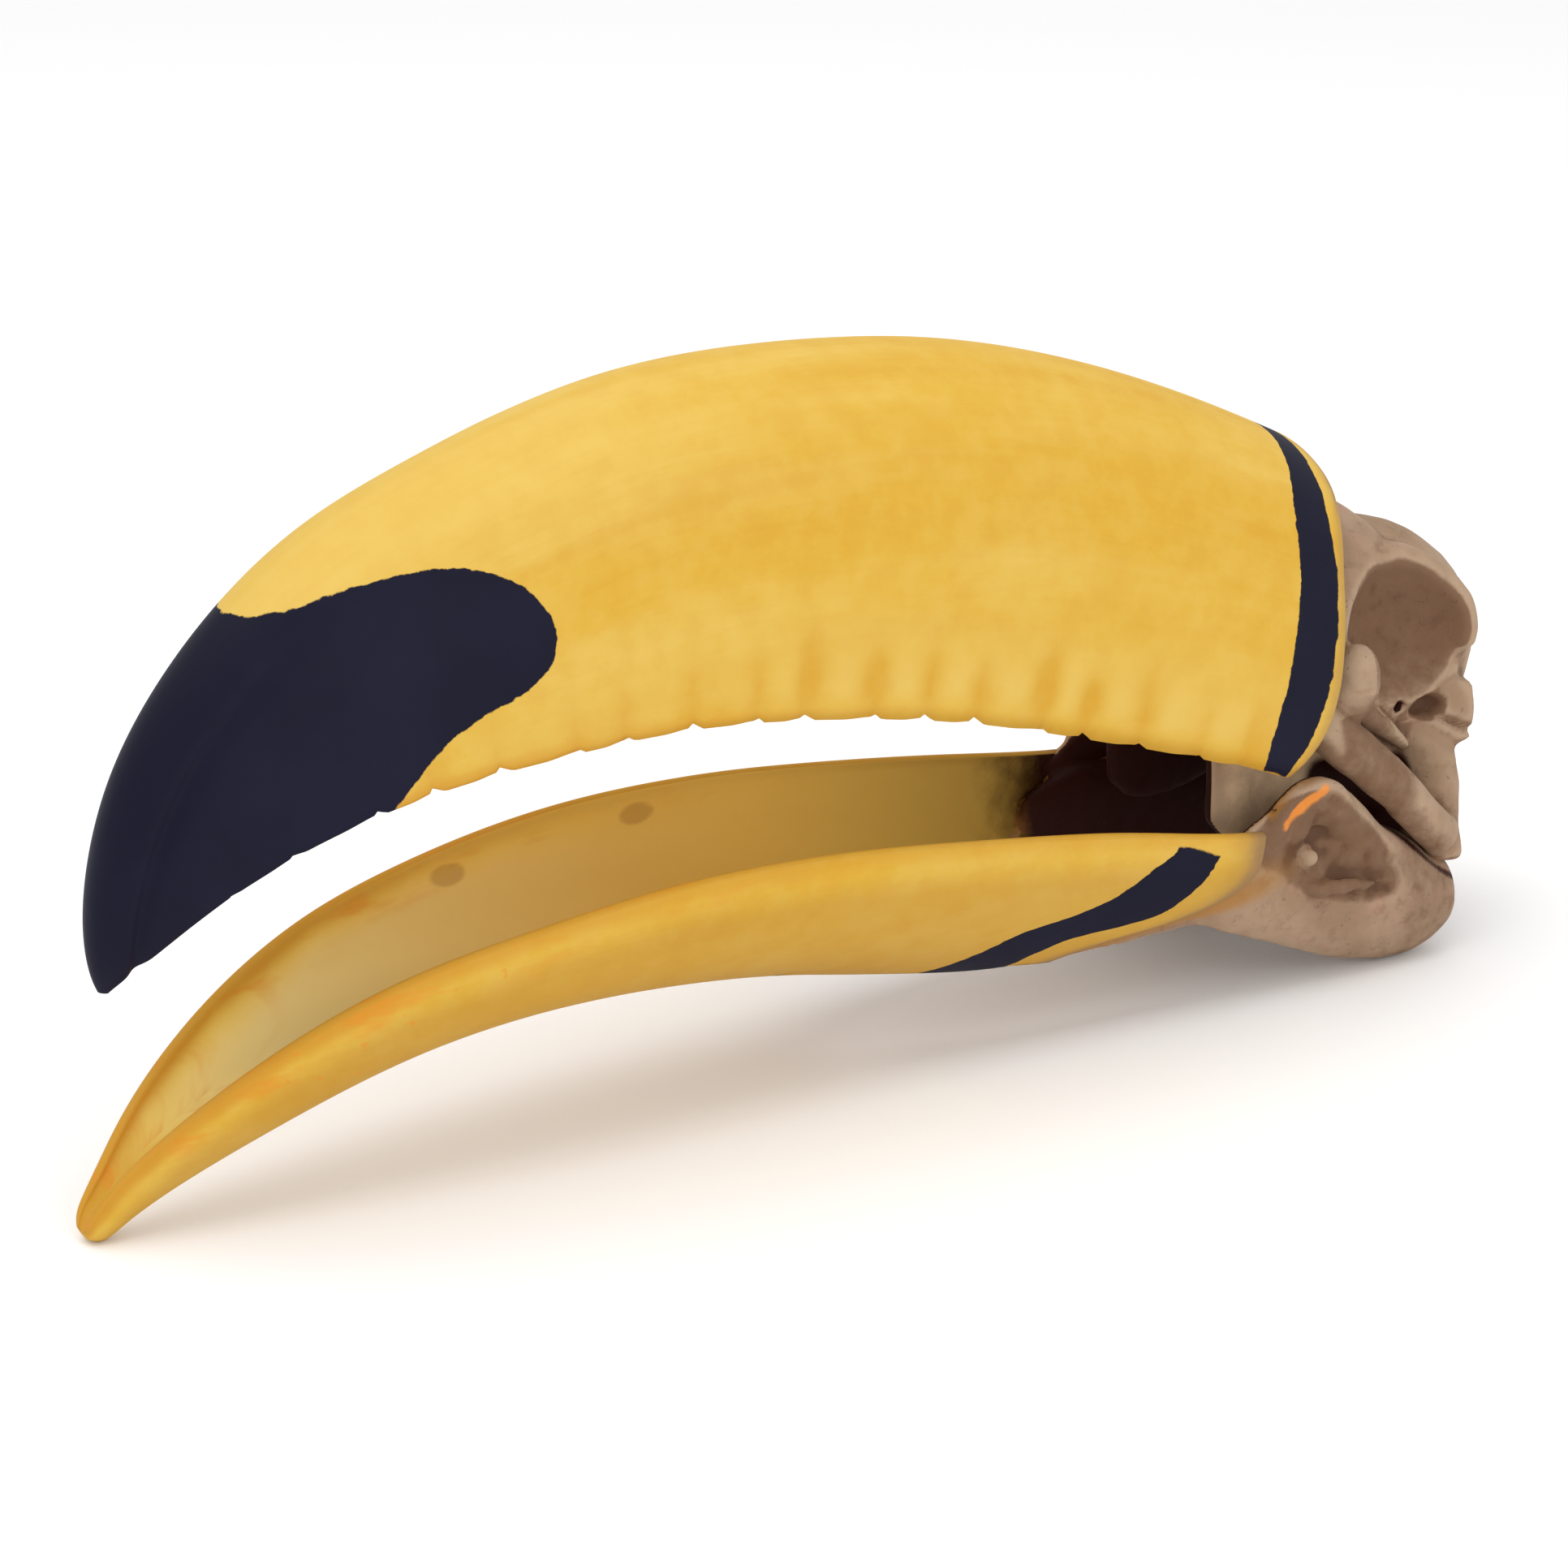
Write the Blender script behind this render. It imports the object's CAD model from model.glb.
"""A painted cast of a toucan skull: bill shells, bones and stage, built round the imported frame.

All shapes are worked out in millimetres in the jaw's frame: x runs back from the tip of the lower bill, y
across with the animal's left side negative, and z up from the floor. put_mesh moves them to the part's.
"""

import bmesh
import bpy
import numpy as np
from mathutils import Matrix


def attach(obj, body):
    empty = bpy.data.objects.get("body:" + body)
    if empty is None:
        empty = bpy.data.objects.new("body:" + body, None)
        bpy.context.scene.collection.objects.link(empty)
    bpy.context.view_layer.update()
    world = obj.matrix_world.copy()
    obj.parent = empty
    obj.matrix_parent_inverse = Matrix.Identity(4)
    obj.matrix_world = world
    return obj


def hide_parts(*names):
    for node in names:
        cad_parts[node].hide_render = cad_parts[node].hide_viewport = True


bl_info = {
    "name": "Toucan skull cast",
    "version": (1, 0, 0),
    "blender": (4, 5, 0),
    "location": "3D View > Sidebar > Skull",
    "description": "Builds a painted cast of a toucan skull and a plain studio stage",
    "category": "Add Mesh",
}

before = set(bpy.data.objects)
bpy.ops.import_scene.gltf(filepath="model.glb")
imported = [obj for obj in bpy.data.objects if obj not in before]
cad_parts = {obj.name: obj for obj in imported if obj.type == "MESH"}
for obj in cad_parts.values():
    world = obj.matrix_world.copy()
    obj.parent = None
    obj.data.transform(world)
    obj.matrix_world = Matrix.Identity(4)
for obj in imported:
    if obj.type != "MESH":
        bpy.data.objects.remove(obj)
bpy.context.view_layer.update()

MIDDLE_X = 117.45
MM = 0.001
LEFT = -1
RIGHT = 1

# Upper bill sections, from inside the base to the tip: culmen x and z, cutting edge x and z, half-width
BILL_SECTIONS = np.array([
    [212, 74, 200, 28, 26.4],
    [189, 85.2, 175, 38.6, 24.9],
    [166, 94.6, 154, 45.6, 23.3],
    [140, 101.9, 131, 52.6, 22.8],
    [112, 105.4, 107, 57.7, 21.8],
    [84, 104.9, 84, 60.2, 20.5],
    [57.6, 98.9, 63, 59.7, 18.9],
    [33.4, 89.2, 45, 57.3, 16.2],
    [15, 73.5, 29.5, 52.7, 13],
    [6, 59, 17.5, 46.5, 9.6],
    [2.6, 46, 9.8, 40.4, 6],
    [2.6, 38, 5.8, 36.3, 2.8],
    [3.6, 34.5, 4.6, 34.4, 0.9],
])
WIDTH_IN_BOX = 0.992
FULLNESS_BASE = 3.0
FULLNESS_TIP = 2.0
EDGE_INSET = 0.05
PALATE_DEPTH = 5.0
EDGE_THICKNESS = 2.2
NOTCH_FIRST = 9.0
NOTCH_PITCH = 9.3
NOTCH_COUNT = 18
NOTCH_WANDER = 1.2
FLUTE_HEIGHT = 17.0

# Side outlines (x, z) of the paint and of the ends of the sheath
BILL_REAR = [
    [201, 90], [201.4, 80], [201, 75.5], [198.8, 70], [196.5, 63.5], [195.4, 57], [194.6, 52], [193.4, 46],
    [191.6, 41], [188.6, 37], [184.8, 34], [178, 29],
]
BAND_REAR = [
    [199, 89], [198, 80], [196.6, 75], [195.2, 70], [194.3, 64.5], [193.2, 58], [191.8, 51.5], [190, 45.4],
    [188, 40.6], [185.6, 37.4], [181.6, 33], [176, 28],
]
BAND_FRONT = [
    [198, 90], [194.5, 81.5], [190.7, 76], [188.9, 71], [187.8, 65.5], [186.3, 59], [184.6, 52], [183, 46],
    [181.4, 40.5], [180, 34], [178, 28],
]
TIP_PATCH = [
    [4, 79], [15, 81.2], [23, 82.2], [28, 82.8], [33, 84], [39, 85.7], [45, 86.4], [51, 86.5], [57, 85],
    [61.3, 81.7], [63.4, 77], [62.3, 73], [58.5, 69.8], [53, 67.5], [48, 64.8], [43.8, 60.6], [40, 56],
    [35, 48], [28, 38],
]

# Lower bill sections: rim x and z, keel x and z, half-width
LOWER_SECTIONS = np.array([
    [196, 25.5, 180, 8, 24.6],
    [176, 27.5, 162, 7.4, 24.2],
    [155, 31.3, 143, 6.4, 22.6],
    [130, 35, 125, 10.8, 21.9],
    [108, 37.4, 106, 15.4, 20.9],
    [84, 37.9, 86, 18, 19.5],
    [62, 35.7, 66.6, 18.7, 17.8],
    [42, 31.7, 48.4, 16.7, 14.9],
    [25, 24.6, 31.4, 12.2, 11.3],
    [12, 16, 16.4, 6.8, 7.4],
    [4.4, 8.8, 6.8, 2.4, 4.2],
    [0.6, 4.2, 2.6, 0.05, 2.7],
    [-0.4, 2, 0.2, 0.6, 1.5],
])
LOWER_FULLNESS = 2.6
WALL_THICKNESS = 2.0
FLOOR_THICKNESS = 3.4
CHIN_END = 104.0
CHIN_RUN = 34
SIDE_WALL_FOOT = 6.5
LOWER_REAR = [
    [182, 40], [180.8, 26], [179.6, 21.4], [176, 18.4], [171, 16.6], [165, 15.4], [158, 14.6], [151, 13.2],
    [145, 10.8], [142, 7.6], [139, 2], [134, -6],
]
LOWER_BAND_REAR = [
    [174, 40], [172.9, 27], [171.2, 24.2], [169.4, 22.2], [166.4, 20], [163, 18], [158, 17.2], [153, 17],
    [148, 16.6], [143, 15], [138.6, 12.6], [135.4, 9.4], [130.6, 2], [125.6, -6],
]
LOWER_BAND_FRONT = [
    [166, 40], [165.2, 28], [162.2, 26.4], [158.8, 24.6], [154.6, 22.6], [150, 21.2], [145.4, 20.4],
    [139.6, 19.6], [134, 17.4], [128, 14.6], [121, 11], [114, 6], [108, -4],
]


def srgb(red, green, blue):
    """Screen colour 0 to 255 as the linear colour a shader takes: a power curve with a straight foot."""
    c = np.array([red, green, blue]) / 255
    return tuple(float(v) for v in np.where(c <= 0.04045, c / 12.92, ((c + 0.055) / 1.055) ** 2.4)) + (1.0,)


def smooth(x, low, high):
    """Goes from 0 at low to 1 at high along a cubic with flat ends."""
    s = np.clip((np.asarray(x, float) - low) / (high - low), 0, 1)
    return s * s * (3 - 2 * s)


def fall(x, low, high):
    """Goes from 1 at low to 0 at high along the same cubic."""
    return 1 - smooth(x, low, high)


def spline(points, t):
    """Points on a smooth curve through a list of points.

    Each stretch is a cubic whose end slopes come from its neighbours, weighted by the square root of their
    distances, and t runs evenly over the stretches from 0 to 1.
    """
    p = np.asarray(points, float)
    p = np.vstack([2 * p[0] - p[1], p, 2 * p[-1] - p[-2]])
    stretches = len(p) - 3
    at = np.clip(np.asarray(t, float), 0, 1) * stretches
    i = np.minimum(at.astype(int), stretches - 1)
    w = (at - i)[..., None]
    p0, p1, p2, p3 = p[i], p[i + 1], p[i + 2], p[i + 3]
    pairs = ((p0, p1), (p1, p2), (p2, p3))
    d0, d1, d2 = (np.maximum(np.linalg.norm(b - a, axis=-1, keepdims=True), 1e-6) ** 0.5 for a, b in pairs)
    m1 = ((p1 - p0) / d0 - (p2 - p0) / (d0 + d1) + (p2 - p1) / d1) * d1
    m2 = ((p2 - p1) / d1 - (p3 - p1) / (d1 + d2) + (p3 - p2) / d2) * d1
    return p1 + m1 * w + (3 * (p2 - p1) - 2 * m1 - m2) * w**2 + (2 * (p1 - p2) + m1 + m2) * w**3


def along(values, t):
    """A smooth value along a list of numbers, read at a share t of its length.

    It is the cubic through the numbers whose bend never jumps, with no bend at the two ends.
    """
    v = np.asarray(values, float)
    n = len(v)
    bend = np.eye(n)
    k = np.arange(1, n - 1)
    bend[k, k - 1], bend[k, k], bend[k, k + 1] = 1, 4, 1
    m = np.linalg.solve(bend, np.concatenate([[0], 6 * (v[2:] - 2 * v[1:-1] + v[:-2]), [0]]))
    at = np.clip(t, 0, 1) * (n - 1)
    i = np.minimum(at.astype(int), n - 2)
    w = at - i
    return (1 - w) * v[i] + w * v[i + 1] + (((1 - w) ** 3 - (1 - w)) * m[i] + (w**3 - w) * m[i + 1]) / 6


def line_x(points, z):
    """The x of a side outline that runs from top to bottom, at heights z."""
    fine = spline(points, np.linspace(0, 1, 400))[::-1]
    return np.interp(z, fine[:, 1], fine[:, 0])


def inside_outline(points, x, z):
    """Signed distance in mm from a closed side outline, positive inside it.

    The distance is the least one to any side; a point is inside where a ray along x crosses an odd number.
    """
    a = np.asarray(points, float)
    b = np.roll(a, -1, axis=0)
    q = np.stack([x, z], -1)[..., None, :]
    run = b - a
    s = np.clip(((q - a) * run).sum(-1) / (run**2).sum(-1), 0, 1)
    away = np.linalg.norm(q - (a + s[..., None] * run), axis=-1).min(-1)
    crosses = (a[:, 1] > q[..., 1]) != (b[:, 1] > q[..., 1])
    reach = a[:, 0] + (q[..., 1] - a[:, 1]) * run[:, 0] / np.where(np.abs(run[:, 1]) < 1e-9, 1e-9, run[:, 1])
    odd = (crosses & (q[..., 0] < reach)).sum(-1) % 2 == 1
    return np.where(odd, away, -away)


def noise(points, size, seed=0):
    """Smooth noise from -1 to 1: hashed values on a lattice of that size in mm, blended between points."""
    q = np.asarray(points, float) / size + 71.3
    base = np.floor(q).astype(np.int64)
    f = q - base
    f = f * f * (3 - 2 * f)
    total = 0.0
    for corner in range(8):
        step = np.array([corner & 1, corner >> 1 & 1, corner >> 2 & 1])
        n = base + step
        h = (n[..., 0] * 73856093) ^ (n[..., 1] * 19349663) ^ (n[..., 2] * 83492791) ^ (seed * 2654435761)
        h = (h ^ (h >> 13)) * 1274126177 & 0x7FFFFFFF
        total = total + (h % 65536 / 32768 - 1) * np.prod(np.where(step, f, 1 - f), axis=-1)
    return total


def grid_faces(rows, columns, closed):
    """Quads of a grid of rows by columns; closed joins the last column to the first."""
    r, c = np.meshgrid(np.arange(rows - 1), np.arange(columns if closed else columns - 1), indexing="ij")
    d = (c + 1) % columns
    near, far = r * columns, (r + 1) * columns
    return np.stack([near + c, near + d, far + d, far + c], -1).reshape(-1, 4)


def closed_tube(rings):
    """Points and faces of a grid of rings, closed round each ring and capped to the middle at each end."""
    rows, columns = rings.shape[:2]
    points = np.vstack([rings.reshape(-1, 3), rings[0].mean(0), rings[-1].mean(0)])
    quads = grid_faces(rows, columns, True)
    j = np.arange(columns)
    k = (j + 1) % columns
    last = (rows - 1) * columns
    first_cap = np.stack([k, j, np.full(columns, rows * columns)], -1)
    last_cap = np.stack([last + j, last + k, np.full(columns, rows * columns + 1)], -1)
    return points, quads.tolist() + first_cap.tolist() + last_cap.tolist()


def joined(shapes):
    """The points of several shapes as one array and their faces as one list."""
    starts = np.cumsum([0] + [len(points) for points, _ in shapes]).tolist()
    faces = [[i + start for i in face] for (_, part), start in zip(shapes, starts) for face in part]
    return np.vstack([points for points, _ in shapes]), faces


def put_mesh(name, points, faces, data=None, uv=None):
    """A mesh object in the part's frame, from points in mm, with named values and a UV for each point."""
    points = (np.asarray(points, float) - [MIDDLE_X, 0, 0]) * MM
    mesh = bpy.data.meshes.new(name)
    mesh.from_pydata(points.tolist(), [], [list(map(int, f)) for f in faces])
    for key, values in (data or {}).items():
        layer = mesh.attributes.new(key, "FLOAT", "POINT")
        layer.data.foreach_set("value", np.asarray(values, np.float32).ravel())
    if uv is not None:
        corner = np.empty(len(mesh.loops), np.int32)
        mesh.loops.foreach_get("vertex_index", corner)
        mesh.uv_layers.new(name="run").data.foreach_set("uv", np.asarray(uv, np.float32)[corner].ravel())
    mesh.validate()
    made = bpy.data.objects.new(name, mesh)
    bpy.context.scene.collection.objects.link(made)
    turn_out(made)
    mesh.polygons.foreach_set("use_smooth", np.ones(len(mesh.polygons), bool))
    return made


def turn_out(made):
    """Turns all faces of a closed mesh outwards."""
    work = bmesh.new()
    work.from_mesh(made.data)
    bmesh.ops.remove_doubles(work, verts=work.verts, dist=1e-7)
    bmesh.ops.recalc_face_normals(work, faces=work.faces)
    work.to_mesh(made.data)
    work.free()
    made.data.update()


def dress(piece, material, nodes):
    """Gives a piece its material and slot, rides it on the part's body and lets it stand for CAD nodes."""
    piece.data.materials.clear()
    piece.data.materials.append(material)
    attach(piece, "root")
    if nodes:
        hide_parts(*nodes)
    return piece


# Upper bill

def notch_places():
    """Where the notches of the cutting edge sit along x: an even pitch with a slow wander."""
    i = np.arange(NOTCH_COUNT + 1)
    return NOTCH_FIRST + NOTCH_PITCH * i + NOTCH_WANDER * np.sin(2.3 * i + 0.6)


def lobe_share(x):
    """How far along its lobe each x of the edge is: 0 at the notch in front and 1 at the notch behind."""
    places = notch_places()
    i = np.clip(np.searchsorted(places, x) - 1, 0, len(places) - 2)
    return np.clip((x - places[i]) / (places[i + 1] - places[i]), 0, 1)


def start_shares(probe, points, rear):
    """The share at which each column of points crosses the rear outline, between two of the probes."""
    behind = points[..., 0] - line_x(rear, points[..., 2])
    first = np.maximum(np.argmax(behind < 0, axis=0), 1)
    j = np.arange(points.shape[1])
    hi, lo = behind[first - 1, j], behind[first, j]
    return probe[first - 1, 0] + (probe[1, 0] - probe[0, 0]) * hi / np.maximum(hi - lo, 1e-9)


def bill_surface(t, turn, look):
    """The upper bill's skin at shares t from base to tip and turn round the section.

    turn 0 to 1 climbs the left flank from the cutting edge to the culmen, 1 to 2 comes down the right flank,
    and 2 to 3 crosses the palate back to the left. A flank is a superellipse between edge and culmen; flutes
    sink it above each notch, and the edge rises into each notch. Returns points, height above the edge in mm,
    flute depth from 0 to 1, and distance from the culmen in mm.
    """
    cx, cz, ex, ez, width = (along(BILL_SECTIONS[:, k], t) for k in range(5))
    width = width * WIDTH_IN_BOX
    fullness = FULLNESS_BASE + (FULLNESS_TIP - FULLNESS_BASE) * smooth(t, 0.1, 0.7)
    height = np.hypot(cx - ex, cz - ez)
    near_tip = smooth(ex, 8, 45)
    share_in_lobe = lobe_share(ex)
    worn = 1 - np.sqrt(np.maximum(np.sin(np.pi * share_in_lobe), 0))
    saw = np.maximum(0, 1 - share_in_lobe / 0.16) + 0.35 * smooth(share_in_lobe, 0.55, 1.0)

    flank = np.where(turn <= 1, turn, 2 - turn)
    angle = np.pi / 2 * np.clip(flank, 0, 1)
    share = np.sin(angle) ** (2 / fullness)
    inset = 1 - EDGE_INSET * (1 - share) ** 4
    climb = share * height
    fade = np.maximum(0, 1 - climb / FLUTE_HEIGHT) ** 1.5
    which = np.floor((ex + 4.5) / NOTCH_PITCH)
    strength = 0.65 + 0.35 * np.sin(which * 4.7 + 0.9)
    top = 15 + 5 * np.sin(which * 3.1)
    long_flute = smooth(climb, 0.5, 5) * fall(climb, 0.35 * top, top)
    long_flute = long_flute * smooth(ex, 70, 110) * fall(ex, 158, 170)
    soft_flute = (0.5 + 0.5 * np.cos(2 * np.pi * share_in_lobe)) ** 1.5 * strength
    depth = look.flute_depth * near_tip * (0.55 * worn * fade + 0.55 * soft_flute * long_flute)
    ridge = np.exp(-(((1 - share) * height - 6.0) / 1.2) ** 2) * smooth(t, 0.55, 0.72) * fall(t, 0.93, 0.99)
    side = np.where(turn <= 1, -1.0, 1.0)
    y_flank = side * np.maximum(width * np.cos(angle) * inset - depth - 0.9 * ridge, 0)
    lift = look.notch_depth * near_tip * saw
    up_flank = share + np.exp(-((climb / 1.6) ** 2)) * lift / height

    across = 1 - 2 * np.clip(turn - 2, 0, 1)
    lip = np.minimum(EDGE_THICKNESS, width * 0.4)
    reach = width * 0.95 - lip * 0.6
    rise = np.minimum(PALATE_DEPTH, height * 0.15) / height
    y_palate = across * reach
    from_middle = np.abs(across)
    up_palate = 0.004 + (rise - 0.004) * (1 - from_middle**5) + lift / height * from_middle**20

    palate = turn > 2
    y = np.where(palate, y_palate, y_flank)
    up = np.where(palate, up_palate, up_flank)
    points = np.stack([ex + (cx - ex) * up, y, ez + (cz - ez) * up], -1)
    flute = np.clip(depth / max(look.flute_depth, 1e-3) / 0.5, 0, 1) * ~palate
    return points, np.where(palate, -1.0, up * height), flute, np.where(palate, 99.0, (1 - up) * height)


BILL_ROWS = 330
FLANK_COLUMNS = 74
PALATE_COLUMNS = 34
BILL_REAR_ROWS = [0, 0.0012, 0.003, 0.006]
BILL_RUN = 230
BILL_GIRTH = 62
REAR_DISH = 2.2
NOSTRIL_DEPTH = 3.0
NOSTRIL_OUT, NOSTRIL_HALF_WIDTH = 9.5, 3.0
NOSTRIL_UP, NOSTRIL_HALF_HEIGHT = 73, 2.5


def upper_bill(look):
    """The whole upper bill as one shell.

    The grid starts, on each column, where the column crosses the rear outline, and ends at the tip. The rear
    face is the first ring drawn in towards its middle, along the same outline, and dished a little.
    """
    flank = 0.5 - 0.5 * np.cos(np.pi * np.linspace(0, 1, FLANK_COLUMNS))
    flank = 0.35 * flank + 0.65 * np.linspace(0, 1, FLANK_COLUMNS)
    palate = 0.5 - 0.5 * np.cos(np.pi * np.linspace(0, 1, PALATE_COLUMNS))
    turn = np.concatenate([flank[:-1], 2 - flank[::-1], 2 + palate[1:-1]])
    probe = np.linspace(0, 0.3, 240)[:, None]
    start = start_shares(probe, bill_surface(probe + 0 * turn, turn + 0 * probe, look)[0], BILL_REAR)
    row = np.linspace(0, 1, BILL_ROWS) ** 1.05
    row[:4] = BILL_REAR_ROWS
    t = start + (1 - start) * row[:, None]
    points, above, flute, below = bill_surface(t, turn + 0 * t, look)
    roll = 0.55 * (1 - np.clip(row[:, None] / BILL_REAR_ROWS[-1], 0, 1)) ** 2
    middle = points[:1].mean(1, keepdims=True)
    inward = middle - points
    inward[..., 0] = 0
    far = np.maximum(np.linalg.norm(inward, axis=-1, keepdims=True), 1e-6)
    points = points + roll[..., None] * inward / far
    points += 0.10 * noise(points, 14, 3)[..., None] * [0, 1, 0.3] * smooth(row, 0.01, 0.05)[:, None, None]

    ring = points[0]
    centre = ring.mean(0)
    shrink = np.concatenate([np.linspace(0.0, 0.93, 30), [0.95, 0.97, 0.985]])[:, None]
    cap_y = ring[:, 1] * shrink
    cap_z = centre[2] + (ring[:, 2] - centre[2]) * shrink
    hollow = REAR_DISH * (1 - shrink**6) * smooth(1 - shrink, 0.0, 0.06)
    nostril_y = (np.abs(cap_y) - NOSTRIL_OUT) / NOSTRIL_HALF_WIDTH
    nostril_z = (cap_z - NOSTRIL_UP) / NOSTRIL_HALF_HEIGHT
    nostril = np.exp(-(nostril_y**2) - nostril_z**2)
    cap_x = line_x(BILL_REAR, cap_z) - hollow - NOSTRIL_DEPTH * nostril
    cap_x = cap_x * (1 - shrink**24) + ring[:, 0] * shrink**24
    cap = np.stack([cap_x, cap_y, cap_z], -1)
    rings = np.concatenate([cap, points])
    body, faces = closed_tube(rings)

    def spread(values, on_cap, ends=(0.0, 0.0)):
        """Values of the rear face's rings, then the skin's grid, then the middle points of rear and tip."""
        return np.concatenate([np.broadcast_to(on_cap, cap.shape[:2]).ravel(), np.ravel(values), ends])

    x, z = body[:, 0], body[:, 2]
    edge = spline(TIP_PATCH, np.linspace(0, 1, 70))
    patch = np.vstack([edge, [[-60, edge[-1, 1] - 25], [-60, edge[0, 1]]]])
    data = {
        "tip_paint": inside_outline(patch, x, z),
        "band_paint": np.minimum(x - line_x(BAND_FRONT, z), line_x(BAND_REAR, z) - x),
        "rear": x - line_x(BILL_REAR, z),
        "above_edge": spread(above, 99.0, [99.0, 0.0]),
        "below_culmen": spread(below, 99.0, [99.0, 0.0]),
        "groove": spread(flute, 0.0),
        "rear_face": spread(0 * above, 1.0, [1.0, 0.0]),
        "nostril": spread(0 * above, nostril),
        "palate": spread(1.0 * (turn > 2) + 0 * t, 0.0),
    }
    u = spread(t * BILL_RUN, 0.0, [0.0, BILL_RUN])
    v = spread(turn * BILL_GIRTH + 0 * t, 0.0)
    return put_mesh("upper_bill_shell", body, faces, data, np.stack([u, v], -1) / 100)


# Lower bill

LOWER_ROWS = 300
LOWER_COLUMNS = 34
LIP_COLUMNS = 5
FOOT_COLUMNS = 5
OUTER_FOOT = LOWER_COLUMNS - 1
INNER_FOOT = LOWER_COLUMNS + FOOT_COLUMNS
SHUT = 0.05
LOWER_REAR_ROWS = [0, 0.0009, 0.0022, 0.0042]
SMUDGES = ((66.0, 33.0), (98.9, 34.8))


def lower_loop(side, t, columns, inset=0.0):
    """One side of the lower bill as rows of columns: down the outside from the rim, then up the inside.

    The outside is a superellipse from rim to keel. The inside is the same drawn in by the wall's thickness
    and lifted by the floor's. Both stop at the foot of the wall, which is in the middle in front of the chin
    and opens along a square root behind it. inset draws both faces into the wall.
    """
    rx, rz, kx, kz, width = (along(LOWER_SECTIONS[:, k], t) for k in range(5))
    depth = np.hypot(rx - kx, rz - kz)
    foot = np.maximum(width - SIDE_WALL_FOOT, 0.0) * np.sqrt(np.clip((kx - CHIN_END) / CHIN_RUN, 0, 1))
    a = np.linspace(0, 1, columns)[None]

    def face(half_width, reach):
        angle = a * np.arccos(np.clip(foot / half_width, 0, 0.995))
        share = np.sin(angle) ** (2 / LOWER_FULLNESS) * reach
        y = side * half_width * np.cos(angle)
        return np.stack([rx + (kx - rx) * share, y, rz + (kz - rz) * share], -1)

    wall = np.minimum(WALL_THICKNESS, 0.5 * width)
    reach = np.maximum(1 - FLOOR_THICKNESS / depth, 0.3) * (0.35 + 0.65 * smooth(rx, 5, 75))
    outer = face(width - inset, 1)
    inner = face(np.maximum(width - wall + inset, 0.2), reach)
    return np.concatenate([outer, inner[:, ::-1]], 1)


def bulge(a, b, count, push):
    """Points between two columns of points, pushed out along push in a half circle, without the two ends."""
    s = np.linspace(0, 1, count + 2)[1:-1][None, :, None]
    return a[:, None] * (1 - s) + b[:, None] * s + push[:, None] * np.sin(np.pi * s)


def lower_rings(side):
    """Rows of one side from rear outline to tip; a row is the outside, round foot, inside and round rim."""
    probe = np.linspace(0, 0.42, 200)[:, None]
    start = start_shares(probe, lower_loop(side, probe, LOWER_COLUMNS), LOWER_REAR)
    row = np.linspace(0, 1, LOWER_ROWS)[:, None]
    row[:4, 0] = LOWER_REAR_ROWS
    loop = [lower_loop(side, s + (1 - s) * row, LOWER_COLUMNS)[:, k] for k, s in enumerate(start)]
    loop = np.stack(loop, 1)
    outer, inner = loop[:, :LOWER_COLUMNS], loop[:, LOWER_COLUMNS:]
    wear = (1 - np.clip(row / LOWER_REAR_ROWS[-1], 0, 1)) ** 2
    outer[..., 1] -= side * 0.5 * wear
    waves = side * 0.12 * noise(outer, 16, 5) * smooth(row, 0.01, 0.04)
    outer[..., 1] -= waves * smooth(np.abs(outer[..., 1]), 0.1, 3)
    wide = np.linalg.norm(outer[:, 0] - inner[:, -1], axis=-1, keepdims=True)
    lip = bulge(inner[:, -1], outer[:, 0], LIP_COLUMNS, np.array([0, 0, 1]) * wide * 0.32)
    off_middle = np.abs(outer[:, -1, 1:2])
    swell = np.where(off_middle > SHUT, np.minimum(0.9, 0.9 * off_middle), 0.0)
    foot = bulge(outer[:, -1], inner[:, 0], FOOT_COLUMNS, np.array([0, -side, 0]) * swell)
    return np.concatenate([outer, foot, inner, lip], 1)


def floor_edge(ring):
    """Triangles of the floor's rear edge: a fan from where the inside's foot shuts to both faces' feet."""
    columns = ring.shape[1]
    row, shut = (np.argmax(np.abs(ring[:, foot, 1]) <= SHUT) for foot in (OUTER_FOOT, INNER_FOOT))
    across = [row * columns + c for c in range(OUTER_FOOT, INNER_FOOT + 1)]
    inwards = [r * columns + INNER_FOOT for r in range(row, shut)]
    last = shut * columns + INNER_FOOT
    return [[last, a, b] for path in (across, inwards) for a, b in zip(path, path[1:])]


def lower_faces(ring):
    """Faces of one side: its grid without the shut foot, the floor's rear edge and a fan at each end."""
    rows, columns = ring.shape[:2]
    quads = grid_faces(rows, columns, True)
    r, c = quads[:, 0] // columns, quads[:, 0] % columns
    shut = np.abs(ring[:, OUTER_FOOT, 1]) <= SHUT
    quads = quads[~((c >= OUTER_FOOT) & (c < INNER_FOOT) & shut[r] & shut[r + 1])]
    j = np.arange(columns)
    first = np.stack([(j + 1) % columns, j, np.full(columns, rows * columns)], -1)
    j = np.delete(j, np.arange(OUTER_FOOT, INNER_FOOT))
    tip = (rows - 1) * columns
    last = np.stack([tip + j, tip + (j + 1) % columns, np.full(len(j), rows * columns + 1)], -1)
    return quads.tolist() + floor_edge(ring) + first.tolist() + last.tolist()


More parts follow.
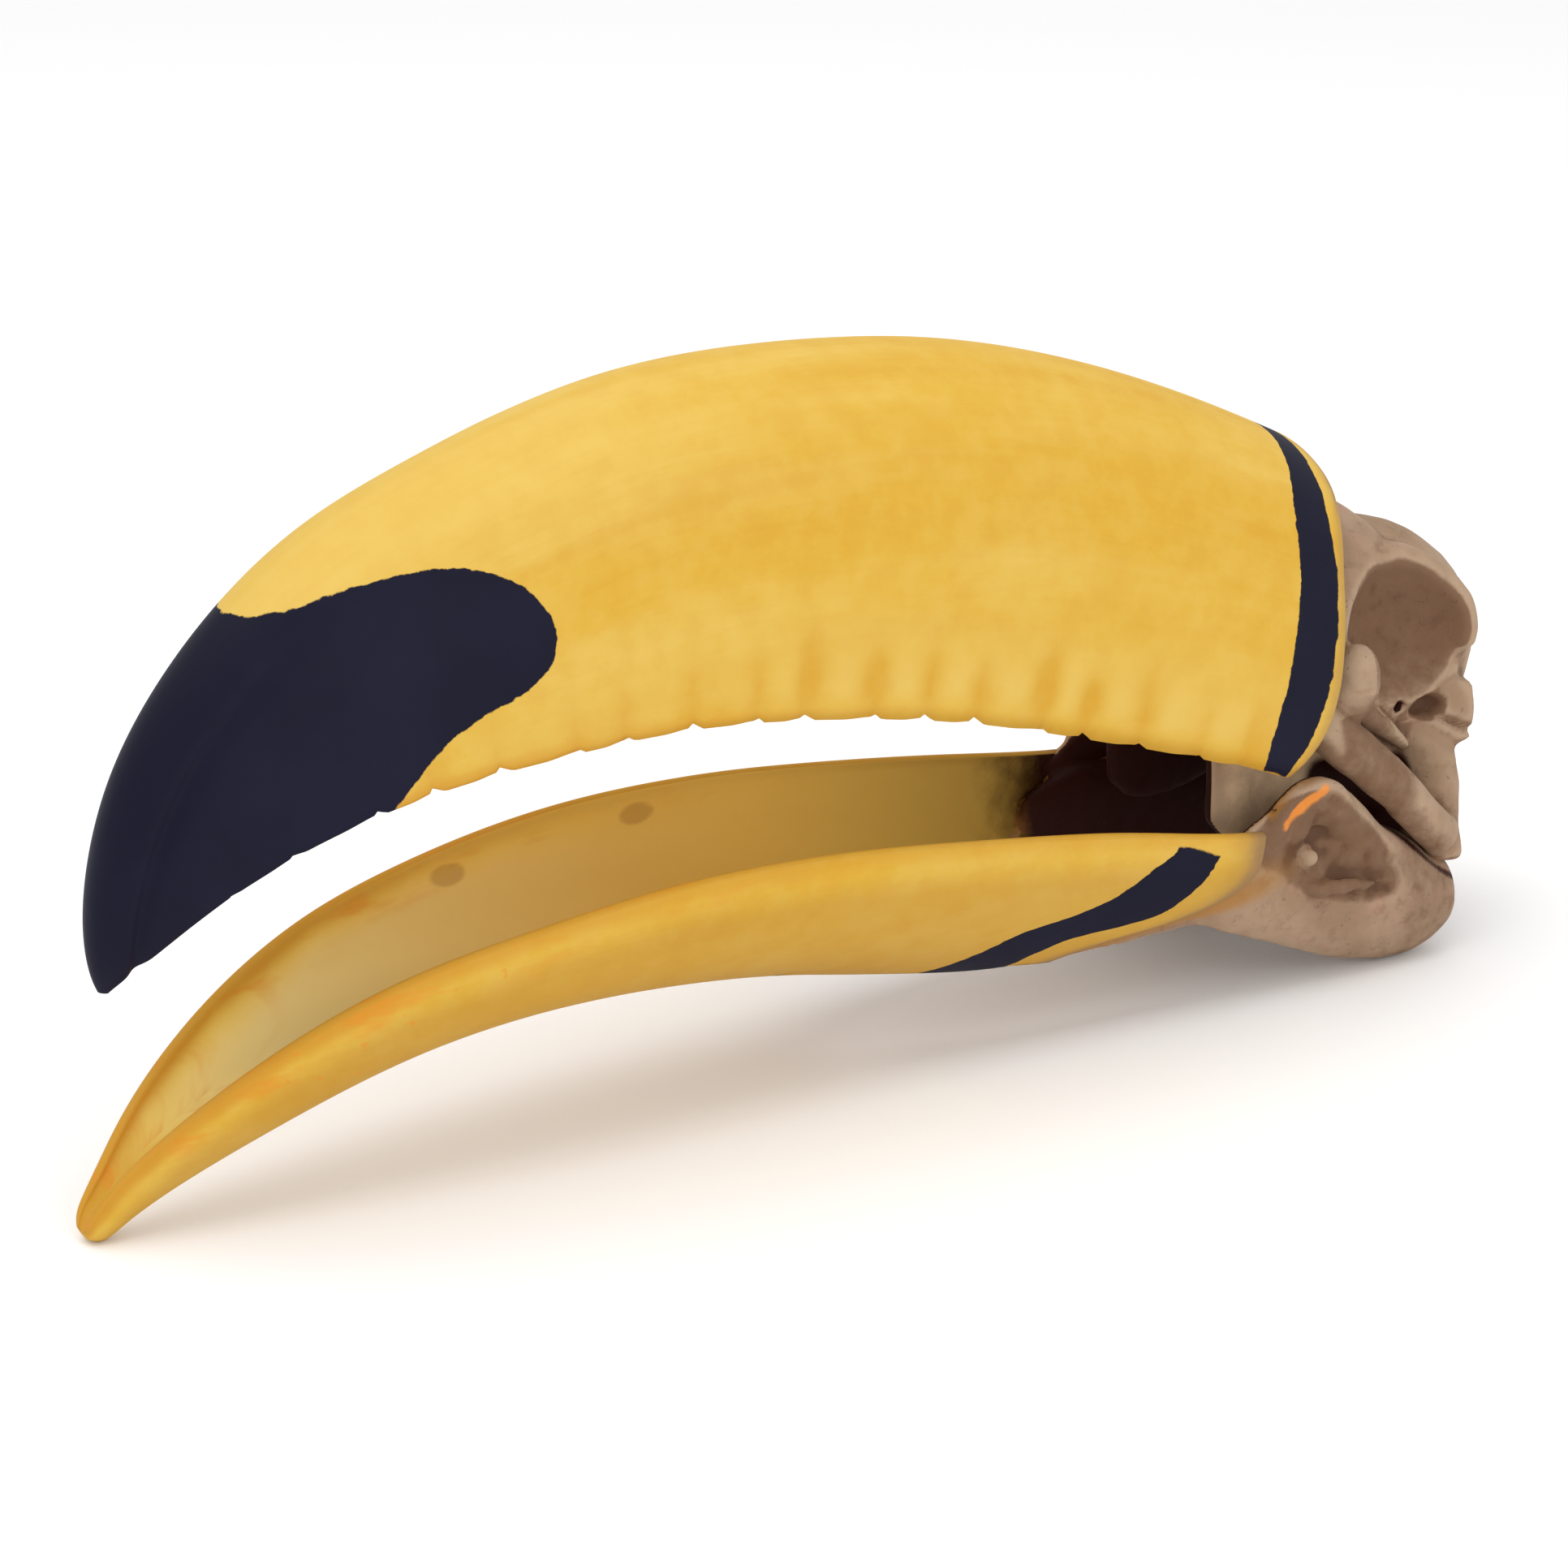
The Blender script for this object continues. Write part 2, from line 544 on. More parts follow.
def lower_bill():
    """The horny sheath of the lower bill as one shell, a trough that parts into two sides behind the chin.

    Each side is a closed loop of columns. In front of the chin the two sides share the points in the middle
    and have no foot; behind it a rounded foot closes each. The rows start where each column crosses the rear
    outline.
    """
    shapes = []
    for side in (LEFT, RIGHT):
        ring = lower_rings(side)
        tip = ring[-1, [0, OUTER_FOOT, INNER_FOOT]].mean(0) * [1, 0, 1]
        shapes.append((np.vstack([ring.reshape(-1, 3), ring[0].mean(0), tip]), lower_faces(ring)))
    body, faces = joined(shapes)
    body[:, 2] = np.maximum(body[:, 2], 0.0)
    x, y, z = body.T
    where = np.repeat([0.0, 0.4, 1.0, 0.4], [LOWER_COLUMNS, FOOT_COLUMNS, LOWER_COLUMNS, LIP_COLUMNS])
    inside = np.tile(np.append(np.tile(where, LOWER_ROWS), [0.5, 0.0]), 2)
    data = {
        "smudge": np.maximum(*((1 - np.hypot((x - a) / 3.6, (z - b) / 1.9)) * (y > 0) for a, b in SMUDGES)),
        "rear": x - line_x(LOWER_REAR, z),
        "band_paint": np.minimum(x - line_x(LOWER_BAND_FRONT, z), line_x(LOWER_BAND_REAR, z) - x),
        "inside": inside,
        "below_rim": np.interp(x, LOWER_SECTIONS[::-1, 0], LOWER_SECTIONS[::-1, 1]) - z,
    }
    uv = np.stack([x, np.abs(y) * 0.6 - z + inside * 70 + np.sign(y) * 20], -1) / 100
    return put_mesh("lower_bill_shell", body, faces, data, uv)


# Bones

BRAINCASE = ([213.8, 0, 46], [21.5, 20, 18.4])
FOREHEAD = ([201, 0, 54.5], [19, 20, 15.8])
SKULL_BASE = ([212, 0, 36], [15, 16.5, 12])
ORBIT = ([210.6, 26.5, 52.4], [13.4, 13.4, 14.4])
ORBIT_PAINT = (ORBIT[0], [14.0, 14.2, 15.0])
ORBIT_REAR_RIM = [
    [200, 14.8, 58.6, 2.6, 2.6], [206, 13, 60.2, 3.4, 3], [213, 12, 60.2, 4, 3.2],
    [219.4, 13.4, 57.2, 4, 3.4], [223, 17, 51.2, 3, 3.4], [222.6, 18.2, 46.4, 2.4, 2.4],
]
ORBIT_LOW_RIM = [[222, 17.6, 44.5, 1.8, 1.6], [217.5, 17.4, 41.6, 1.7, 1.3], [211.5, 17.2, 40.4, 1.6, 1.1]]
CHEEK_LOBE = [
    [216.5, 44.2], [221.5, 43], [225.3, 41], [226, 36.4], [225.4, 31.8], [222.6, 31.4], [218.6, 34.6],
    [216, 38.6],
]
LACRIMAL = ([199.5, 20.6, 45.9], [4.1, 3.5, 6.1])
LACRIMAL_BAR = [
    [200.5, 18.6, 42.2, 1.9, 1.9], [205.8, 18.7, 38.5, 1.7, 1.7], [210.6, 17.9, 34.9, 1.4, 1.3],
    [213.6, 17.0, 32.6, 0.9, 0.8],
]
LACRIMAL_GAP = [[204.4, 50], [204.8, 45], [203, 40.6]]
EAR_RECESS = ([216.6, 20, 38.4], [3.4, 4.6, 2.2])
RECESS_PAINT = (EAR_RECESS[0], [3.8, 5.4, 2.7])
CHEEK_CREASE = [[218.4, 36.9], [221.6, 35.2], [226.4, 32.9]]
EAR_PIT = ([211, 20, 39.6], [0.85, 5.5, 0.8])
PIT_PAINT = (EAR_PIT[0], [1.1, 6.2, 1.0])
FORAMEN = ([229.6, 0, 32.4], [5.2, 4.3, 4.3])
CONDYLE = ([224.2, 0, 27.6], [3.4, 2.8, 2.4])
JUGAL_BAR = [
    [191, 20.2, 43, 2.2, 2.4], [196, 21.6, 38.4, 2.8, 3.5], [205, 22, 31, 2.9, 3.6],
    [213, 21.6, 23.2, 2.8, 3.3], [219.8, 20.2, 17.2, 2.8, 3.6],
]
QUADRATE_POST = [
    [216.5, 13, 36, 4.4, 5], [219.6, 15.6, 28, 3.8, 4.6], [220.4, 16.6, 20, 3.8, 4.2],
    [219.8, 17, 13.4, 5, 4.8],
]
QUADRATE_FOOT = ([216.6, 12.4, 17.4], [4.6, 4.6, 5.4])
QUADRATE_PRONG = [[218, 14.5, 25, 2.6, 2.6], [213.6, 12.6, 26, 2, 2.2], [209.8, 11, 27, 1.1, 1.4]]
PALATINE_SHEET = [
    [179.8, 26], [183, 22.6], [190, 22], [198, 24.4], [206, 27.6], [207, 34], [196, 42], [180, 47],
    [179.4, 36],
]
PTERYGOID = [[202, 9, 27, 2, 3], [210, 10.2, 24, 2, 3], [219, 14.6, 20.4, 2.2, 3.2]]
RAMUS = [
    [169, 19.4, 18.4, 1.6, 4], [178, 19.6, 18.4, 3.4, 7.2], [193, 19.6, 15.8, 4.6, 10],
    [205, 18.4, 11.7, 5.8, 10.4], [214, 17.6, 8.8, 6.2, 8.8], [222, 17.2, 9.2, 4.4, 5.4],
]
CORONOID = [
    [176, 22, 23, 1.5, 3], [184, 22.8, 27, 1.8, 3.6], [189.6, 22.8, 29.6, 2, 4.4],
    [195.5, 22.2, 27.6, 2, 3.6], [204, 21, 20, 2.4, 3.4], [214, 19.6, 13.6, 2.6, 3],
]
CREST_LINE = [
    [181.6, 24.2, 27.6, 0.9, 0.9], [186, 24.6, 31, 1, 1], [190, 24.2, 33, 1.2, 1],
    [194.6, 23.6, 31.2, 1.2, 1.2], [197.6, 23, 27.6, 1, 1],
]
BELLY_LINE = [
    [188.6, 24.1, 17.2, 0.7, 0.8], [193, 24.6, 16.8, 0.8, 0.9], [199, 24.6, 16, 0.9, 0.9],
    [206, 23.8, 15, 0.7, 0.8],
]
FOSSA = ([195.4, 29.0, 21.8], [21, 5.9, 8.2])
FOSSA_PAINT = ([193.6, 29.0, 22.2], [26, 7.4, 10.4])
FOSSA_LEAN = -22
CHEEK_OUT, CHEEK_THICKNESS, CHEEK_LEAN = 16.0, 6.2, -0.1
PALATINE_OUT, PALATINE_THICKNESS, PALATINE_LEAN = 10.3, 2.4, 0.12
PALATINE_REACH = 14.5
FORAMEN_PAINT = 4.2
SHEATH_FIRST, SHEATH_LAST, SHEATH_ROWS, SHEATH_COLUMNS, SHEATH_INSET = 0.02, 0.25, 50, 30, 0.45
KNOB = ([189.3, 23.9, 21.8], [1.35, 1.3, 1.35])
STREAK_LINE = [[184.0, 28.4], [187.4, 30.4], [190.8, 32.2]]
SLIT_LINE = [[204, 26.4], [210.6, 19.8], [217.2, 13.8], [221.5, 11.2]]
JAW_REACH = 25.62


def limb(stops, side, rows=40, columns=28):
    """A tube with oval rings round a smooth path.

    A stop is x, distance from the middle, z, half-width and half-height. The last twentieth at each end is
    rounded off.
    """
    stops = np.asarray(stops, float)
    t = np.linspace(0, 1, rows)
    path = spline(stops[:, :3] * [1, side, 1], t)
    ahead = np.gradient(path, axis=0)
    ahead /= np.linalg.norm(ahead, axis=1, keepdims=True)
    across = np.cross([0, 0, 1], ahead)
    across /= np.linalg.norm(across, axis=1, keepdims=True)
    above = np.cross(ahead, across)
    blunt = np.sqrt(np.clip(1 - np.maximum(0, np.abs(t * 2 - 1) - 0.9) ** 2 / 0.01, 0.0, 1)) * 0.98 + 0.02
    wide = along(stops[:, 3], t) * blunt
    tall = along(stops[:, 4], t) * blunt
    a = np.linspace(0, 2 * np.pi, columns, endpoint=False)
    sideways = across[:, None] * (wide[:, None] * np.cos(a))[..., None]
    upwards = above[:, None] * (tall[:, None] * np.sin(a))[..., None]
    return closed_tube(path[:, None] + sideways + upwards)


def lump(at, radii, side=RIGHT, lean=0.0, rows=28, columns=40):
    """An ellipsoid from angles of latitude and longitude, leaned in the side view by an angle in degrees."""
    v = np.linspace(0.02, np.pi - 0.02, rows)[:, None]
    u = np.linspace(0, 2 * np.pi, columns, endpoint=False)
    ball = np.stack([np.sin(v) * np.cos(u), np.sin(v) * np.sin(u), np.cos(v) + 0 * u], -1) * radii
    c, s = np.cos(np.radians(lean)), np.sin(np.radians(lean))
    ball = ball @ np.array([[c, 0, -s], [0, 1, 0], [s, 0, c]])
    return closed_tube(ball + np.array([at[0], side * at[1], at[2]]))


def slab(outline, side, out, thickness, lean=0.0):
    """A thin standing sheet: an outline in the side view, made thick and leaned to the middle backwards."""
    o = np.asarray(outline, float)
    mid = o.mean(0)
    s = np.array([1.0, 0.9, 0.6, 0.2])[:, None, None]
    flat = mid + (o - mid) * s
    half = thickness / 2 * np.array([0.6, 1, 1, 1])[:, None]
    y = side * (out - lean * (flat[..., 0] - mid[0]))
    near, far = (np.stack([flat[..., 0], y + way * half, flat[..., 1]], -1) for way in (-1, 1))
    return closed_tube(np.concatenate([near[::-1], far]))


def fuse(name, shapes, voxel, rounds):
    """Melts closed shapes into one skin by voxel remeshing, smooths it and returns points and faces."""
    made = put_mesh(name, *joined(shapes))
    melt = made.modifiers.new("melt", "REMESH")
    melt.mode = "VOXEL"
    melt.voxel_size = voxel * MM
    soften = made.modifiers.new("soften", "SMOOTH")
    soften.factor = 0.5
    soften.iterations = rounds
    graph = bpy.context.evaluated_depsgraph_get()
    mesh = made.evaluated_get(graph).to_mesh()
    flat = np.empty(len(mesh.vertices) * 3)
    mesh.vertices.foreach_get("co", flat)
    quads = np.empty(len(mesh.loops), np.int32)
    mesh.loops.foreach_get("vertex_index", quads)
    made.evaluated_get(graph).to_mesh_clear()
    bpy.data.objects.remove(made)
    return flat.reshape(-1, 3) / MM + [MIDDLE_X, 0, 0], quads.reshape(-1, 4)


def normals(points, quads):
    """Directions out of a mesh of quads: the crossed diagonals of the faces round each point, added up."""
    a, b, c, d = (points[quads[:, k]] for k in range(4))
    face = np.cross(c - a, d - b)
    out = [np.bincount(quads.ravel(), np.repeat(face[:, k], 4), len(points)) for k in range(3)]
    out = np.stack(out, -1)
    return out / np.maximum(np.linalg.norm(out, axis=1, keepdims=True), 1e-9)


def relaxed(points, quads, rounds):
    """Points moved towards the middle of their neighbours, over and over."""
    a = quads.ravel()
    b = np.roll(quads, -1, axis=1).ravel()
    n = len(points)
    count = np.bincount(a, minlength=n) + np.bincount(b, minlength=n)
    for _ in range(rounds):
        total = [np.bincount(a, points[b, k], n) + np.bincount(b, points[a, k], n) for k in range(3)]
        points = 0.4 * points + 0.6 * np.stack(total, -1) / count[:, None]
    return points


def hollows(points, quads):
    """How far each point lies below the relaxed skin, for broad hollows and for fine ones.

    Both run from -1 on a crest to 1 in a hollow. A kind has its rounds of relaxing and its full depth in mm.
    """
    out = normals(points, quads)
    found = {}
    for key, rounds, full in (("hollow", 60, 0.9), ("fine", 8, 0.12)):
        below = ((relaxed(points, quads, rounds) - points) * out).sum(1)
        found[key] = np.clip(below / full, -1, 1)
    return found


def bowl(points, at, radii, soft=0.6, lean=0.0):
    """How deep in mm a bowl presses into both sides: an ellipsoid beside the skull pushes its skin inwards.

    soft rounds the bowl's rim, and lean turns the ellipsoid in the side view, in degrees.
    """
    x, y, z = points.T
    c, s = np.cos(np.radians(lean)), np.sin(np.radians(lean))
    along_x, along_z = c * (x - at[0]) + s * (z - at[2]), -s * (x - at[0]) + c * (z - at[2])
    inside = 1 - (along_x / radii[0]) ** 2 - (along_z / radii[2]) ** 2
    wall = at[1] - radii[1] * np.sqrt(np.maximum(inside, 0))
    over = np.where(inside > 0, np.abs(y) - wall, -9.0)
    press = 0.5 * (over + np.sqrt(over**2 + soft**2)) - 0.02
    rim = at[1] - radii[1]
    return np.where(over > -3, np.maximum(press, 0), 0) * smooth(np.abs(y), rim - 4, rim)


def dish(points, *place, **how):
    """The points with a bowl pressed into both sides."""
    out = points.copy()
    out[:, 1] = np.sign(out[:, 1]) * (np.abs(out[:, 1]) - bowl(points, *place, **how))
    return out


def off_line(points, stops, count=40):
    """Distance in the side view from a smooth path through stops of x and z, taken at count places."""
    path = spline(stops, np.linspace(0, 1, count))
    return np.linalg.norm(points[:, None, [0, 2]] - path[None], axis=-1).min(1)


def pressed_line(points, stops, depth, wide):
    """Draws a groove into both sides along a path in the side view; its depth is a bell across the path."""
    sink = depth * np.exp(-((off_line(points, stops) / wide) ** 2)) * (np.abs(points[:, 1]) > 12)
    out = points.copy()
    out[:, 1] -= np.sign(points[:, 1]) * sink
    return out


def skull_bones(look):
    """Braincase, sockets, cheek bones, bars, quadrates and palate bones, melted together as in the cast."""
    shapes = [lump(*BRAINCASE, rows=48, columns=72), lump(*FOREHEAD, rows=40, columns=60), lump(*SKULL_BASE)]
    shapes.append(lump(*CONDYLE))
    for side in (LEFT, RIGHT):
        shapes += [limb(ORBIT_REAR_RIM, side), limb(ORBIT_LOW_RIM, side)]
        shapes.append(slab(CHEEK_LOBE, side, CHEEK_OUT, CHEEK_THICKNESS, CHEEK_LEAN))
        shapes += [limb(QUADRATE_POST, side), lump(*QUADRATE_FOOT, side=side), limb(QUADRATE_PRONG, side)]
        shapes.append(limb(PTERYGOID, side))
        shapes.append(slab(PALATINE_SHEET, side, PALATINE_OUT, PALATINE_THICKNESS, PALATINE_LEAN))
    points, faces = fuse("skull_body", shapes, look.voxel, 3)
    for hole, soft in ((ORBIT, 0.4), (EAR_RECESS, 0.3), (EAR_PIT, 0.3)):
        points = dish(points, *hole, soft=soft)
    at, radii = FORAMEN
    off = 1 - (points[:, 1] / radii[1]) ** 2 - ((points[:, 2] - at[2]) / radii[2]) ** 2
    wall = at[0] - radii[0] * np.sqrt(np.maximum(off, 0))
    points[:, 0] = np.where((off > 0) & (points[:, 0] > wall), wall, points[:, 0])
    shapes = [(relaxed(points, faces, 1), faces)]
    for side in (LEFT, RIGHT):
        shapes += [lump(*LACRIMAL, side=side, lean=12), limb(LACRIMAL_BAR, side)]
        shapes.append(limb(JUGAL_BAR, side, rows=60))
    points, faces = fuse("skull_bones", shapes, look.voxel, 2)
    points = pressed_line(points, LACRIMAL_GAP, 0.5, 0.8)
    points = pressed_line(points, CHEEK_CREASE, 0.8, 0.6)
    low_front = (points[:, 0] < 207) * (points[:, 2] < 46)
    rough = 0.18 * noise(points, 6, 11) + 0.11 * noise(points, 2.4, 12)
    rough += 0.2 * noise(points, 4, 13) * low_front
    points = points + normals(points, faces) * rough[:, None]

    x, y, z = points.T
    out_y = np.abs(y)
    _, toward_side, upward = normals(points, faces).T
    outward = toward_side * np.sign(y)
    in_orbit = np.clip(bowl(points, *ORBIT_PAINT, soft=0.8) / 0.9, 0, 1) * (z > 40) * (x > 201.5)
    in_orbit = in_orbit * (0.55 + 0.45 * smooth(z, 42, 53)) * (0.65 + 0.35 * smooth(x, 202, 208))
    recess = bowl(points, *RECESS_PAINT, soft=0.5)
    pit = bowl(points, *PIT_PAINT, soft=0.4)
    in_mouth = smooth(-outward, -0.85, -0.35) * fall(out_y, 13, 14.5) * fall(z, 36, 46) * fall(x, 206, 214)
    under_bar = fall(out_y, 15, 18) * fall(z, 28, 35) * smooth(x, 196, 204) * fall(x, 217, 221)
    hole = 0.7 * (np.hypot(y, z - FORAMEN[0][2]) < FORAMEN_PAINT) * (x > 219)
    sheet = (out_y < PALATINE_REACH) * (x < 207) * (z < 47) * smooth(outward, -0.1, 0.4)
    plate = sheet * 0.45 * fall(x, 180.5, 183.5)
    bar = 0.66 * (out_y > 19.5) * smooth(x, 193, 196) * fall(x, 207, 213) * (z < 42)
    under = smooth(-upward, -0.35, 0.5) * (out_y > 17) * (z < 45) * 0.6
    data = {
        **hollows(points, faces),
        "wash": np.maximum.reduce([in_orbit, 0.8 * np.clip(recess, 0, 1), plate, under, bar]),
        "dark": np.maximum(np.maximum(in_mouth, 0.9 * under_bar), np.clip(pit * 0.8, 0, 0.75) + hole),
        "ochre_tint": np.zeros(len(x)),
        "pale": sheet * (0.4 + 0.6 * smooth(x, 181, 184.5)),
        "streak": np.full(len(x), -2.0),
    }
    return put_mesh("skull_bones", points, faces, data)


def jaw_bone(look, side, word):
    """The bone at the back of one side of the jaw, with its crest, the rough hollow and the knob in it."""
    shapes = [limb(RAMUS, side, rows=60, columns=40), limb(CORONOID, side, rows=60), limb(CREST_LINE, side)]
    t = np.linspace(SHEATH_FIRST, SHEATH_LAST, SHEATH_ROWS)[:, None]
    shapes.append(closed_tube(lower_loop(side, t, SHEATH_COLUMNS, SHEATH_INSET)))
    points, faces = fuse(f"jaw_body_{word}", shapes, look.voxel, 3)
    points = dish(points, *FOSSA, soft=1.1, lean=FOSSA_LEAN)
    shapes = [(points, faces), lump(*KNOB, side=side), limb(BELLY_LINE, side)]
    points, faces = fuse(f"jaw_bone_{word}", shapes, look.voxel, 1)
    pressed = bowl(points, *FOSSA_PAINT, soft=0.9, lean=FOSSA_LEAN)
    from_knob = np.linalg.norm(points[:, [0, 2]] - np.array(KNOB[0])[[0, 2]], axis=1)
    near = smooth(pressed, 0.15, 0.9) * (np.abs(points[:, 1]) > 15) * smooth(from_knob, 1.6, 2.4)
    rough = 0.12 * noise(points, 6, 21) + 0.08 * noise(points, 2.4, 22)
    rough += near * (0.8 * noise(points, 4.0, 23) + 0.5 * noise(points, 2.0, 24))
    points = points + normals(points, faces) * rough[:, None]
    points[:, 1] = np.clip(points[:, 1], -JAW_REACH, JAW_REACH)
    points[:, 2] = np.maximum(points[:, 2], 0.0)

    x, y, z = points.T
    inward = -normals(points, faces)[:, 1] * side
    behind = x - line_x(LOWER_REAR, z)
    slit = 0.62 * fall(off_line(points, SLIT_LINE), 0.1, 1.1) * (np.abs(y) > 18)
    inner_face = smooth(inward, -0.15, 0.35) * smooth(z, 7, 10)
    within = fall(np.abs(y), 20.4, 21.4) * fall(x, 180, 187) * smooth(z, 14, 19)
    data = {
        **hollows(points, faces),
        "wash": np.maximum(near * 0.72, 0.46 * smooth(x, 203, 211)),
        "dark": np.maximum(slit, smooth(x, 163.5, 175) * fall(x, 208, 216) * np.maximum(inner_face, within)),
        "ochre_tint": np.maximum(
            fall(behind, 2.0, 11.0) * fall(z, 17, 25) * smooth(-inward, -0.2, 0.4),
            smooth(inward, -0.5, 0.0) * smooth(z, 7, 10) * fall(x, 186, 196),
        ),
        "streak": np.where(np.abs(y) > 22, 1 - off_line(points, STREAK_LINE, 30) / 1.35, -2.0),
    }
    return put_mesh(f"jaw_bone_{word}", points, faces, data)


# Materials

def math_method(operation, swapped=False):
    """A method of Socket that adds one Math node; swapped puts the socket itself second."""

    def method(self, other):
        pair = (other, self) if swapped else (self, other)
        return self.paint.node("ShaderNodeMath", {"operation": operation}, dict(enumerate(pair)))

    return method


class Socket:
    """One output of a shader node; arithmetic on it adds Math nodes."""

    def __init__(self, paint, link):
        self.paint, self.link = paint, link

    __add__ = math_method("ADD")
    __radd__ = math_method("ADD", True)
    __sub__ = math_method("SUBTRACT")
    __rsub__ = math_method("SUBTRACT", True)
    __mul__ = math_method("MULTIPLY")
    __rmul__ = math_method("MULTIPLY", True)
    at_least = math_method("MAXIMUM")

    def __neg__(self):
        return self * -1.0


class Paint:
    """A material under construction, with one method that adds any node."""

    def __init__(self, name):
        self.material = bpy.data.materials.new(name)
        self.material.use_nodes = True
        self.tree = self.material.node_tree
        self.tree.nodes.clear()
        out = self.tree.nodes.new("ShaderNodeOutputMaterial")
        self.shader = self.tree.nodes.new("ShaderNodeBsdfPrincipled")
        self.tree.links.new(self.shader.outputs[0], out.inputs["Surface"])

    def node(self, kind, settings=None, values=None, output=0):
        made = self.tree.nodes.new(kind)
        for key, value in (settings or {}).items():
            setattr(made, key, value)
        for key, value in (values or {}).items():
            self.set(made.inputs[key], value)
        return Socket(self, made.outputs[output])

    def set(self, target, value):
        if isinstance(value, Socket):
            self.tree.links.new(value.link, target)
        else:
            target.default_value = value

    def surface(self, **values):
        for key, value in values.items():
            self.set(self.shader.inputs[key.replace("_", " ")], value)
        return self.material

    def value(self, name):
        """A named value of the mesh."""
        return self.node("ShaderNodeAttribute", {"attribute_name": name}, output=2)

    def place(self):
        """The place on the object, in metres."""
        return self.node("ShaderNodeTexCoord", output=3)

    def cloud(self, vector, scale, detail=3.0, rough=0.5):
        values = {"Vector": vector, "Scale": scale, "Detail": detail, "Roughness": rough}
        return self.node("ShaderNodeTexNoise", {}, values)

    def streaks(self, lengthways, across, detail, rough):
        """A cloud on the UV map, pulled out along its first axis."""
        run = self.node("ShaderNodeUVMap", {"uv_map": "run"})
        factors = {0: run, 1: (lengthways, across, 1.0)}
        pulled = self.node("ShaderNodeVectorMath", {"operation": "MULTIPLY"}, factors)
        return self.cloud(pulled, 1.0, detail, rough)

    def step(self, value, low, high):
        values = {"Value": value, "From Min": low, "From Max": high}
        return self.node("ShaderNodeMapRange", {"interpolation_type": "SMOOTHSTEP"}, values)

    def fall(self, value, low, high):
        return 1 - self.step(value, low, high)

    def coats(self, colour, *layers):
        """A colour under thin layers of others; a layer is its share and its colour."""
        for share, layer in layers:
            made = self.tree.nodes.new("ShaderNodeMix")
            made.data_type = "RGBA"
            for key, value in ((0, share), (6, colour), (7, layer)):
                self.set(made.inputs[key], value)
            colour = Socket(self, made.outputs[2])
        return colour

    def bump(self, height, distance, strength):
        values = {"Height": height, "Distance": distance, "Strength": strength}
        return self.node("ShaderNodeBump", {}, values)


